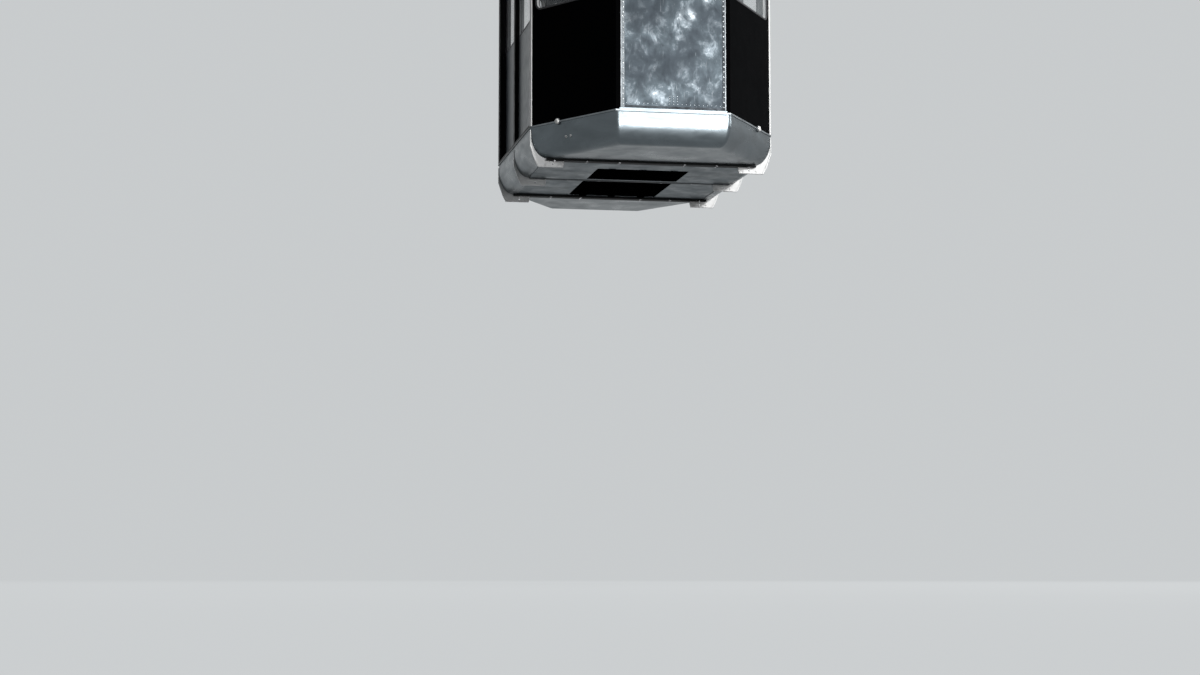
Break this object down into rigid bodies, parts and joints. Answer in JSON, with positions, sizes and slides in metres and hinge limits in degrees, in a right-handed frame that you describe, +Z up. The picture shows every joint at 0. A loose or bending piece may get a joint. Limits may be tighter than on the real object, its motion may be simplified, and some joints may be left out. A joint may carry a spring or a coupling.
{
  "type": "aerial tramway cabin with hanger and carriage",
  "caption": "Eight-sided aerial tramway cabin with a curled skirt and sliding doors, hung by a cranked arm from a roller carriage that runs on twin track ropes.",
  "frame": {"origin": "midway between the axes of the two track ropes, at the middle of the carriage", "axes": "+Z up, -Y the end that the picture shows, +Y along the ropes, +X to the right seen from the front; the arm passes the ropes on the -X side"},
  "size_m": [2.324, 3.964, 6.255],
  "materials": {
    "end_gloss_black": "gloss",
    "frame_black": "gloss",
    "side_grey": "satin paint",
    "bare_aluminium": "worn satin",
    "white_paint": "semi-gloss",
    "belt_dark": "matt",
    "lamp_white": "gloss",
    "underframe_grey": "satin",
    "pan_grey": "satin",
    "bay_door_black": "satin",
    "floor_covering": "matt",
    "roof_light": "satin",
    "glazing": "clear",
    "interior_steel": "brushed",
    "hanger_paint": "semi-gloss",
    "carriage_paint": "semi-gloss",
    "roller_steel": "turned",
    "shaft_steel": "turned",
    "black_rubber": "matt"
  },
  "bodies": {
    "carriage": {"main_beam": "carriage_paint", "haul_bracket": "carriage_paint"},
    "rocker_front": {"rocker_front": "carriage_paint"},
    "rocker_rear": {"rocker_rear": "carriage_paint"},
    "cradle_1": {"cradle_1": "carriage_paint"},
    "cradle_2": {"cradle_2": "carriage_paint"},
    "cradle_3": {"cradle_3": "carriage_paint"},
    "cradle_4": {"cradle_4": "carriage_paint"},
    "axle_1": {"roller_axle_1": "roller_steel"},
    "axle_2": {"roller_axle_2": "roller_steel"},
    "axle_3": {"roller_axle_3": "roller_steel"},
    "axle_4": {"roller_axle_4": "roller_steel"},
    "axle_5": {"roller_axle_5": "roller_steel"},
    "axle_6": {"roller_axle_6": "roller_steel"},
    "axle_7": {"roller_axle_7": "roller_steel"},
    "axle_8": {"roller_axle_8": "roller_steel"},
    "cabin": {"end_front_left": "end_gloss_black", "end_front_centre": "end_gloss_black", "end_front_right": "end_gloss_black", "end_rear_left": "end_gloss_black", "end_rear_centre": "end_gloss_black", "end_rear_right": "end_gloss_black", "side_frame_left": "frame_black", "side_frame_right": "frame_black", "bay_panel_left": "side_grey", "bay_panel_right": "side_grey", "skirt_front": "bare_aluminium", "skirt_rear": "bare_aluminium", "skirt_left": "bare_aluminium", "skirt_right": "bare_aluminium", "centre_panels": "bare_aluminium", "guide_brackets": "white_paint", "corner_mouldings": "white_paint", "belt_rail": "belt_dark", "marker_lamps": "lamp_white", "cross_beams": "underframe_grey", "floor_pans": "pan_grey", "ceiling": "pan_grey", "door_tracks": "pan_grey", "floor_deck": "floor_covering", "roof_shell": "roof_light", "panes_front": "glazing", "panes_rear": "glazing", "bay_panes": "glazing", "grab_poles": "interior_steel", "hanger_arm": "hanger_paint", "hanger_foot": "hanger_paint", "hanger_ladder": "hanger_paint", "ladder_rungs": "hanger_paint", "hanger_shaft": "shaft_steel", "rubber_mounts": "black_rubber"},
    "door_left": {"door_left": "side_grey", "door_pane_left": "glazing"},
    "door_right": {"door_right": "side_grey", "door_pane_right": "glazing"},
    "bay_door_front": {"bay_door_front": "bay_door_black"},
    "bay_door_rear": {"bay_door_rear": "bay_door_black"},
    "roof_lid": {"roof_lid": "roof_light"}
  },
  "joints": [
    {"name": "rocker_front_pivot", "type": "hinge", "parent": "carriage", "child": "rocker_front", "pos_m": [0, -0.86, 0.399], "axis": [1, 0, 0], "range_deg": [-6, 6]},
    {"name": "rocker_rear_pivot", "type": "hinge", "parent": "carriage", "child": "rocker_rear", "pos_m": [0, 0.86, 0.399], "axis": [1, 0, 0], "range_deg": [-6, 6]},
    {"name": "cradle_1_pivot", "type": "hinge", "parent": "rocker_front", "child": "cradle_1", "pos_m": [0, -1.29, 0.269], "axis": [1, 0, 0], "range_deg": [-10, 10]},
    {"name": "cradle_2_pivot", "type": "hinge", "parent": "rocker_front", "child": "cradle_2", "pos_m": [0, -0.43, 0.269], "axis": [1, 0, 0], "range_deg": [-10, 10]},
    {"name": "cradle_3_pivot", "type": "hinge", "parent": "rocker_rear", "child": "cradle_3", "pos_m": [0, 0.43, 0.269], "axis": [1, 0, 0], "range_deg": [-10, 10]},
    {"name": "cradle_4_pivot", "type": "hinge", "parent": "rocker_rear", "child": "cradle_4", "pos_m": [0, 1.29, 0.269], "axis": [1, 0, 0], "range_deg": [-10, 10]},
    {"name": "axle_1_spin", "type": "hinge", "parent": "cradle_1", "child": "axle_1", "pos_m": [0, -1.505, 0.174], "axis": [1, 0, 0], "continuous": true},
    {"name": "axle_2_spin", "type": "hinge", "parent": "cradle_1", "child": "axle_2", "pos_m": [0, -1.075, 0.174], "axis": [1, 0, 0], "continuous": true},
    {"name": "axle_3_spin", "type": "hinge", "parent": "cradle_2", "child": "axle_3", "pos_m": [0, -0.645, 0.174], "axis": [1, 0, 0], "continuous": true},
    {"name": "axle_4_spin", "type": "hinge", "parent": "cradle_2", "child": "axle_4", "pos_m": [0, -0.215, 0.174], "axis": [1, 0, 0], "continuous": true},
    {"name": "axle_5_spin", "type": "hinge", "parent": "cradle_3", "child": "axle_5", "pos_m": [0, 0.215, 0.174], "axis": [1, 0, 0], "continuous": true},
    {"name": "axle_6_spin", "type": "hinge", "parent": "cradle_3", "child": "axle_6", "pos_m": [0, 0.645, 0.174], "axis": [1, 0, 0], "continuous": true},
    {"name": "axle_7_spin", "type": "hinge", "parent": "cradle_4", "child": "axle_7", "pos_m": [0, 1.075, 0.174], "axis": [1, 0, 0], "continuous": true},
    {"name": "axle_8_spin", "type": "hinge", "parent": "cradle_4", "child": "axle_8", "pos_m": [0, 1.505, 0.174], "axis": [1, 0, 0], "continuous": true},
    {"name": "hanger_pivot", "type": "hinge", "parent": "carriage", "child": "cabin", "pos_m": [0, 0, 0.52], "axis": [1, 0, 0], "range_deg": [-30, 30]},
    {"name": "door_left_slide", "type": "slide", "parent": "cabin", "child": "door_left", "axis": [0, -1, 0], "range_m": [0, 0.945]},
    {"name": "door_right_slide", "type": "slide", "parent": "cabin", "child": "door_right", "axis": [0, 1, 0], "range_m": [0, 0.945]},
    {"name": "bay_door_front_hinge", "type": "hinge", "parent": "cabin", "child": "bay_door_front", "pos_m": [0, -0.6525, -5.54728], "axis": [-1, 0, 0], "range_deg": [0, 90]},
    {"name": "bay_door_rear_hinge", "type": "hinge", "parent": "cabin", "child": "bay_door_rear", "pos_m": [0, 0.9475, -5.53328], "axis": [1, 0, 0], "range_deg": [0, 90]},
    {"name": "roof_lid_hinge", "type": "hinge", "parent": "cabin", "child": "roof_lid", "pos_m": [0, 1.462, -2.88937], "axis": [-1, 0, 0], "range_deg": [0, 95]}
  ]
}
